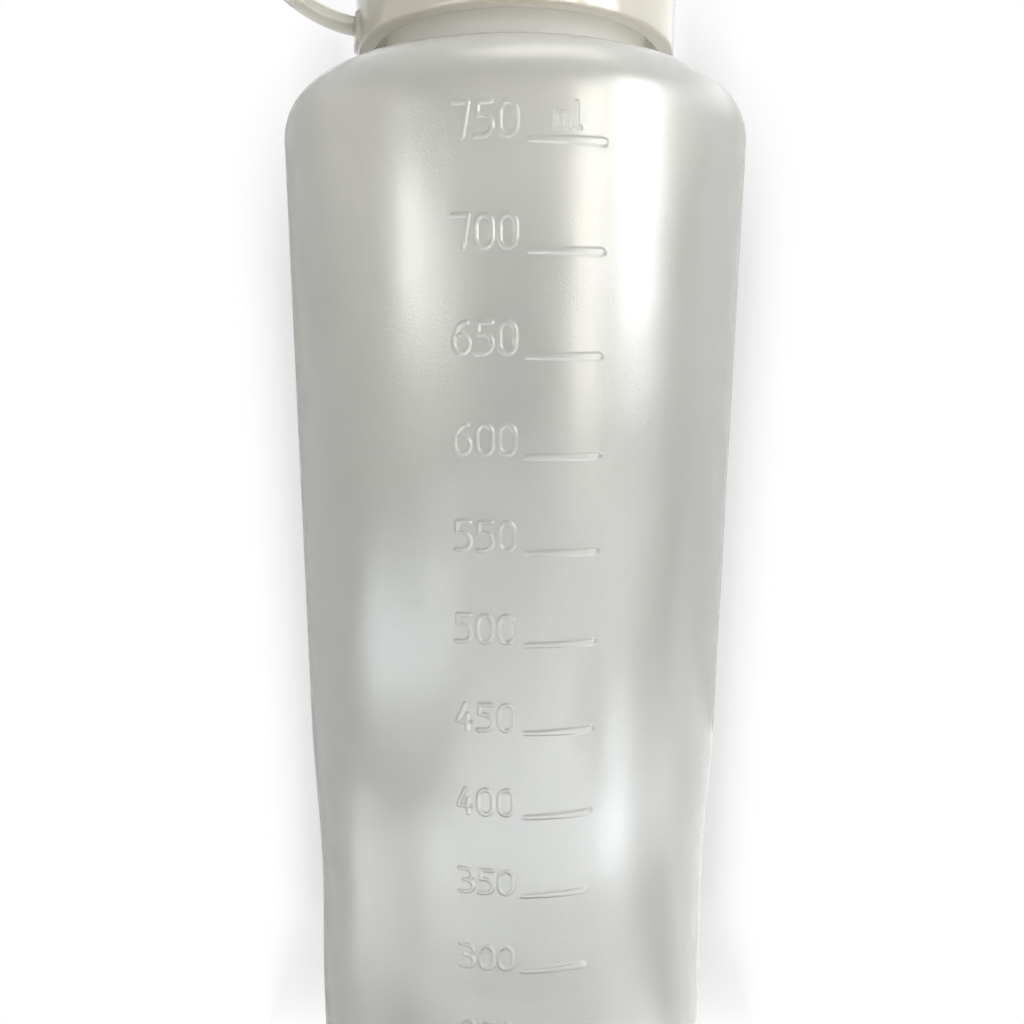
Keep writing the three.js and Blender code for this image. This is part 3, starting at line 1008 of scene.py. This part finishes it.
def make_backdrop():
    """A card behind the bottle that glows white, with a painted soft shadow beside the bottle where ambient
    occlusion dims its glow. It is seen from the front only and blocks no light. Behind the cap it is open to
    the camera, so that the strap shows when the cap is turned."""
    material, nodes, links, _ = new_material("backdrop_paper")
    place = split_place(nodes, links)
    beside = nodes.new("ShaderNodeMath")
    beside.operation = "ABSOLUTE"
    links.new(place["X"], beside.inputs[0])
    across = beside.outputs["Value"]
    # Painted soft shadow: ambient occlusion dims the glow beside the bottle, none far from it or at its foot
    shade = nodes.new("ShaderNodeAmbientOcclusion")
    shade.inputs["Distance"].default_value = PAINTED_SHADOW_REACH
    far = spread(nodes, links, across, PAINTED_SHADOW_DARK, 1, PAINTED_SHADOW_SIDE)
    low = spread(nodes, links, place["Z"], 1, PAINTED_SHADOW_DARK, PAINTED_SHADOW_FOOT)
    level = nodes.new("ShaderNodeMapRange")
    links.new(combined(nodes, links, "MAXIMUM", far, low), level.inputs["To Min"])
    links.new(shade.outputs["AO"], level.inputs["Value"])
    glow = nodes.new("ShaderNodeEmission")
    links.new(level.outputs["Result"], glow.inputs["Strength"])
    # Rays that see the card
    rays = nodes.new("ShaderNodeLightPath")
    narrow = spread(nodes, links, across, 1, 0, STRAP_GAP_SIDE)
    high = spread(nodes, links, place["Z"], 0, 1, STRAP_GAP_FOOT)
    gap = combined(nodes, links, "MULTIPLY", narrow, high)
    direct = combined(nodes, links, "SUBTRACT", rays.outputs["Is Camera Ray"], gap)
    seen = combined(nodes, links, "MAXIMUM", direct, rays.outputs["Is Transmission Ray"])
    clear = nodes.new("ShaderNodeBsdfTransparent")
    behind = nodes.new("ShaderNodeNewGeometry").outputs["Backfacing"]
    front = mixed(nodes, links, behind, glow.outputs[0], clear.outputs[0])
    card = mixed(nodes, links, seen, clear.outputs[0], front)
    links.new(card, nodes["Material Output"].inputs["Surface"])
    x, y, z = BACKDROP_HALF_WIDTH, BACKDROP_DISTANCE, BACKDROP_HEIGHT
    sheet_of_paper("backdrop", [(-x, y, 0), (x, y, 0), (x, y, z), (-x, y, z)], material)


def make_camera():
    """The camera that was fitted to the photograph."""
    data = bpy.data.cameras.new("camera")
    data.sensor_width = CAMERA_SENSOR
    data.lens = CAMERA_LENS
    data.clip_start = CAMERA_CLIP_START
    camera = bpy.data.objects.new("camera", data)
    place = Matrix.Translation(CAMERA_PLACE)
    tilt = Matrix.Rotation(math.radians(90 - CAMERA_TILT), 4, "X")
    roll = Matrix.Rotation(math.radians(CAMERA_ROLL), 4, "Z")
    camera.matrix_world = place @ tilt @ roll
    bpy.context.scene.collection.objects.link(camera)
    bpy.context.scene.camera = camera


for light in WINDOWS:
    window(*light)
# Each sheet lies a little above the last one, so that none hides another
for step, light in enumerate(TABLE_LIGHTS):
    table_light(*light, TABLE_LIGHT_HEIGHT + step * TABLE_LIGHT_STEP)
make_world()
make_floor()
make_backdrop()
for card in SIDE_FLAGS:
    side_flag(*card)
for card in STANDING_FLAGS:
    standing_flag(*card)
for card in LYING_FLAGS:
    lying_flag(*card)
make_camera()
bpy.context.scene.view_settings.view_transform = "Standard"
